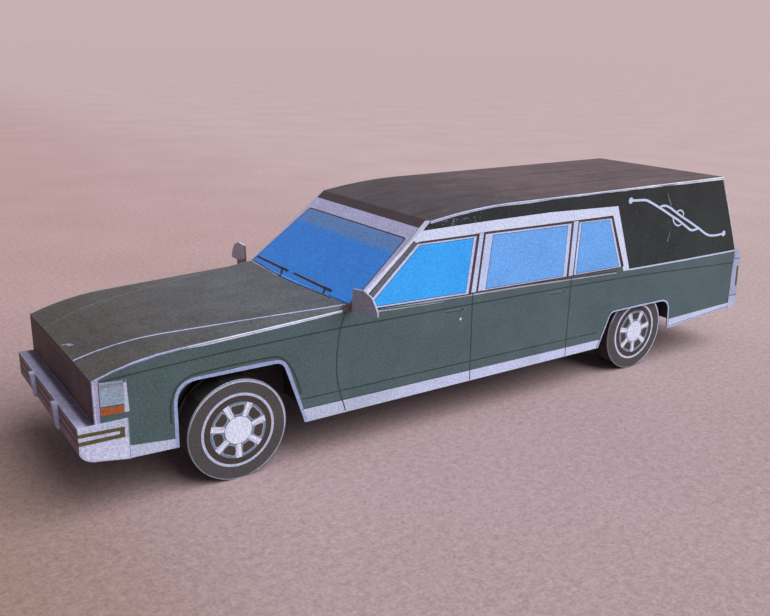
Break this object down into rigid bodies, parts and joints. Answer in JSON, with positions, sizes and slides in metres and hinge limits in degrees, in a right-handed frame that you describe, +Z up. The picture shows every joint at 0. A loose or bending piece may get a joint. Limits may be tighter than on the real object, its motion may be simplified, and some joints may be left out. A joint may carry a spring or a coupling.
{
  "type": "card model hearse",
  "caption": "Folded, printed card model of a hearse with a long body, curved bonnet, raked windscreen, card bumpers, door mirrors and card wheels that roll on skewer axles.",
  "frame": {"origin": "on the floor under the middle of the model's box", "axes": "+X towards the front, +Y to the car's left, +Z up"},
  "size_m": [0.2762, 0.0864, 0.0728],
  "materials": {
    "body_side_card": "printed dark grey-green, matt",
    "bonnet_card": "printed dark grey-green, matt",
    "front_card": "printed dark grille and lamps, matt",
    "windscreen_card": "printed blue glass with a pale frame",
    "roof_card": "printed dark vinyl-brown, matt",
    "tail_card": "printed tailgate, matt",
    "underside_card": "printed black, matt",
    "well_card": "printed black, matt",
    "bumper_card": "printed pale silver, matt",
    "tail_lamp_card": "printed pale silver and red, matt",
    "mirror_card": "printed grey with a pale edge",
    "sleeve_paper": "plain rolled paper",
    "axle_wood": "plain bamboo skewer",
    "tread_card": "printed black, matt",
    "wheel_face_card": "printed tyre, rim and blank hub",
    "wheel_back_card": "printed black, matt"
  },
  "bodies": {
    "root": {"left_side": "body_side_card", "right_side": "body_side_card", "bonnet": "bonnet_card", "front_panel": "front_card", "windscreen": "windscreen_card", "roof": "roof_card", "rear_panel": "tail_card", "front_floor": "underside_card", "middle_floor": "underside_card", "rear_floor": "underside_card", "front_left_wheel_well": "well_card", "front_right_wheel_well": "well_card", "rear_left_wheel_well": "well_card", "rear_right_wheel_well": "well_card", "front_bumper": "bumper_card", "rear_bumper": "bumper_card", "front_left_bumper_guard": "bumper_card", "front_right_bumper_guard": "bumper_card", "left_tail_lamp_fin": "tail_lamp_card", "right_tail_lamp_fin": "tail_lamp_card", "left_mirror": "mirror_card", "right_mirror": "mirror_card", "front_axle_sleeve": "sleeve_paper", "rear_axle_sleeve": "sleeve_paper"},
    "front_wheelset": {"front_axle": "axle_wood", "front_left_tread": "tread_card", "front_left_wheel_face": "wheel_face_card", "front_left_wheel_back": "wheel_back_card", "front_right_tread": "tread_card", "front_right_wheel_face": "wheel_face_card", "front_right_wheel_back": "wheel_back_card"},
    "rear_wheelset": {"rear_axle": "axle_wood", "rear_left_tread": "tread_card", "rear_left_wheel_face": "wheel_face_card", "rear_left_wheel_back": "wheel_back_card", "rear_right_tread": "tread_card", "rear_right_wheel_face": "wheel_face_card", "rear_right_wheel_back": "wheel_back_card"}
  },
  "joints": [
    {"name": "front_wheelset_roll", "type": "hinge", "parent": "root", "child": "front_wheelset", "pos_m": [0.0933, 0, 0.015], "axis": [0, 1, 0], "continuous": true},
    {"name": "rear_wheelset_roll", "type": "hinge", "parent": "root", "child": "rear_wheelset", "pos_m": [-0.0751, 0, 0.015], "axis": [0, 1, 0], "continuous": true}
  ]
}
